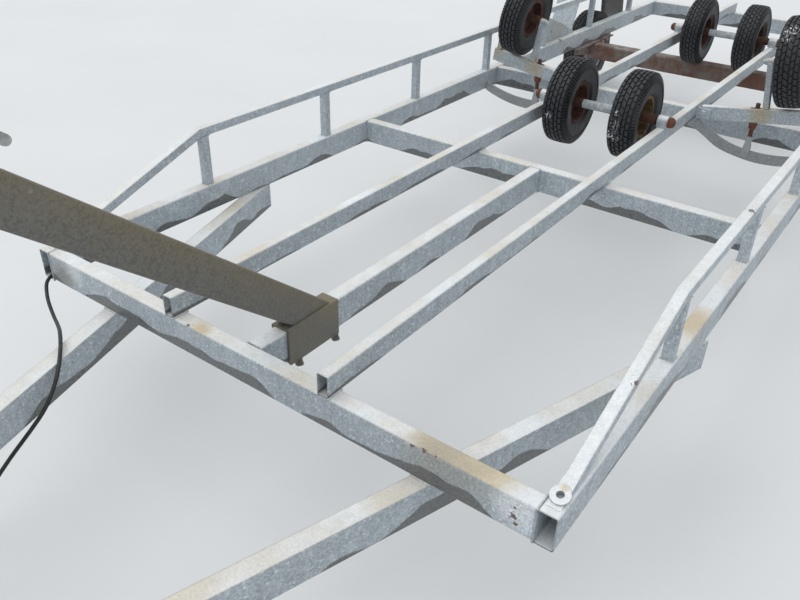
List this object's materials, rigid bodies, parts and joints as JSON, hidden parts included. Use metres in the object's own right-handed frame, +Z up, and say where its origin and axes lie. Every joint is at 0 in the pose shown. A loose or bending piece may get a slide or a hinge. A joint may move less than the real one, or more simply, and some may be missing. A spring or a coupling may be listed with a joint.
{
  "type": "boat trailer",
  "caption": "Galvanised boat trailer with keel wheels, tilting side supports, winch post, guard rails, ball coupling and a swivelling jockey wheel.",
  "frame": {"origin": "bottom centre of the trailer without its cable, on the ground under the middle of its length", "axes": "+X forward to the coupling, +Y to the left side, +Z up"},
  "size_m": [8.808, 2.6006, 1.7522],
  "materials": {
    "galvanised": "weathered hot-dip galvanised steel",
    "rusty_steel": "rusty bare steel",
    "post_paint": "weathered olive brown coating",
    "wheel_steel": "silver painted wheel",
    "cast": "zinc plated casting",
    "zinc": "zinc plated steel",
    "tyre": "worn black tyre rubber",
    "rubber": "black rubber",
    "plastic": "black plastic",
    "lamp": "red lens"
  },
  "bodies": {
    "frame": {"side_rails": "galvanised", "front_crossbeam": "galvanised", "second_crossbeam": "galvanised", "third_crossbeam": "galvanised", "rear_crossbeam": "galvanised", "centre_rail": "galvanised", "keel_rails": "galvanised", "keel_sleeves": "galvanised", "keel_axles": "rusty_steel", "drawbar_arms": "galvanised", "drawbar_nose": "galvanised", "coupling_head": "cast", "ball_socket": "cast", "guard_rails": "galvanised", "guard_lugs": "galvanised", "stay_plates": "galvanised", "winch_post": "post_paint", "post_clamp": "post_paint", "bow_stop": "galvanised", "bow_roller": "rubber", "winch": "zinc", "support_brackets": "galvanised", "support_plates": "galvanised", "support_screws": "rusty_steel", "axle_tube": "rusty_steel", "axle_mounts": "rusty_steel", "trailing_arms": "rusty_steel", "mudguards": "galvanised", "rear_lamps": "lamp", "jack_clamp": "galvanised", "jack_tube": "galvanised", "cable": "rubber", "cable_coil": "rubber", "plug": "plastic"},
    "keel_front_left_wheel": {"keel_front_left_tyre": "tyre", "keel_front_left_rim": "rusty_steel"},
    "keel_front_right_wheel": {"keel_front_right_tyre": "tyre", "keel_front_right_rim": "rusty_steel"},
    "keel_rear_left_wheel": {"keel_rear_left_tyre": "tyre", "keel_rear_left_rim": "rusty_steel"},
    "keel_rear_right_wheel": {"keel_rear_right_tyre": "tyre", "keel_rear_right_rim": "rusty_steel"},
    "road_left_wheel": {"road_left_tyre": "tyre", "road_left_rim": "wheel_steel"},
    "road_right_wheel": {"road_right_tyre": "tyre", "road_right_rim": "wheel_steel"},
    "support_left_arm": {"support_arm_left": "galvanised"},
    "support_left_wheel": {"support_left_tyre": "tyre", "support_left_rim": "rusty_steel"},
    "support_left_nut": {"support_nut_left": "rusty_steel"},
    "support_right_arm": {"support_arm_right": "galvanised"},
    "support_right_wheel": {"support_right_tyre": "tyre", "support_right_rim": "rusty_steel"},
    "support_right_nut": {"support_nut_right": "rusty_steel"},
    "jack_leg": {"jack_inner_tube": "galvanised"},
    "jack_swivel": {"jack_fork": "galvanised"},
    "jack_wheel": {"jack_wheel": "rubber"}
  },
  "joints": [
    {"name": "keel_front_left_spin", "type": "hinge", "parent": "frame", "child": "keel_front_left_wheel", "pos_m": [-0.72, 0.19, 0.69], "axis": [0, 1, 0], "continuous": true},
    {"name": "keel_front_right_spin", "type": "hinge", "parent": "frame", "child": "keel_front_right_wheel", "pos_m": [-0.72, -0.19, 0.69], "axis": [0, 1, 0], "continuous": true},
    {"name": "keel_rear_left_spin", "type": "hinge", "parent": "frame", "child": "keel_rear_left_wheel", "pos_m": [-2.898, 0.19, 0.69], "axis": [0, 1, 0], "continuous": true},
    {"name": "keel_rear_right_spin", "type": "hinge", "parent": "frame", "child": "keel_rear_right_wheel", "pos_m": [-2.898, -0.19, 0.69], "axis": [0, 1, 0], "continuous": true},
    {"name": "road_left_spin", "type": "hinge", "parent": "frame", "child": "road_left_wheel", "pos_m": [-3.256, 1.211, 0.317], "axis": [0, 1, 0], "continuous": true},
    {"name": "road_right_spin", "type": "hinge", "parent": "frame", "child": "road_right_wheel", "pos_m": [-3.256, -1.211, 0.317], "axis": [0, 1, 0], "continuous": true},
    {"name": "support_left_hinge", "type": "hinge", "parent": "frame", "child": "support_left_arm", "pos_m": [-1.263, 0.402, 0.613], "axis": [1, 0, 0], "range_deg": [-5, 5]},
    {"name": "support_left_spin", "type": "hinge", "parent": "support_left_arm", "child": "support_left_wheel", "pos_m": [-1.263, 0.80493, 0.96803], "axis": [0, 0.9885, 0.1513], "continuous": true},
    {"name": "support_left_nut_travel", "type": "slide", "parent": "frame", "child": "support_left_nut", "axis": [0, 0, 1], "range_m": [-0.03, 0.03]},
    {"name": "support_right_hinge", "type": "hinge", "parent": "frame", "child": "support_right_arm", "pos_m": [-1.263, -0.402, 0.613], "axis": [-1, 0, 0], "range_deg": [-5, 5]},
    {"name": "support_right_spin", "type": "hinge", "parent": "support_right_arm", "child": "support_right_wheel", "pos_m": [-1.263, -0.80493, 0.96803], "axis": [0, 0.9885, -0.1513], "continuous": true},
    {"name": "support_right_nut_travel", "type": "slide", "parent": "frame", "child": "support_right_nut", "axis": [0, 0, 1], "range_m": [-0.03, 0.03]},
    {"name": "jack_lift", "type": "slide", "parent": "frame", "child": "jack_leg", "axis": [0, 0, 1], "range_m": [-0.1, 0]},
    {"name": "jack_turn", "type": "hinge", "parent": "jack_leg", "child": "jack_swivel", "pos_m": [3.544, 0.265, 0.268], "axis": [0, 0, 1], "continuous": true},
    {"name": "jack_roll", "type": "hinge", "parent": "jack_swivel", "child": "jack_wheel", "pos_m": [3.499, 0.265, 0.1], "axis": [0, 1, 0], "continuous": true}
  ],
  "couplings": [
    {"joint": "support_left_nut_travel", "follows": "support_left_hinge", "m_per_rad": 0.26801},
    {"joint": "support_right_nut_travel", "follows": "support_right_hinge", "m_per_rad": 0.26801}
  ]
}
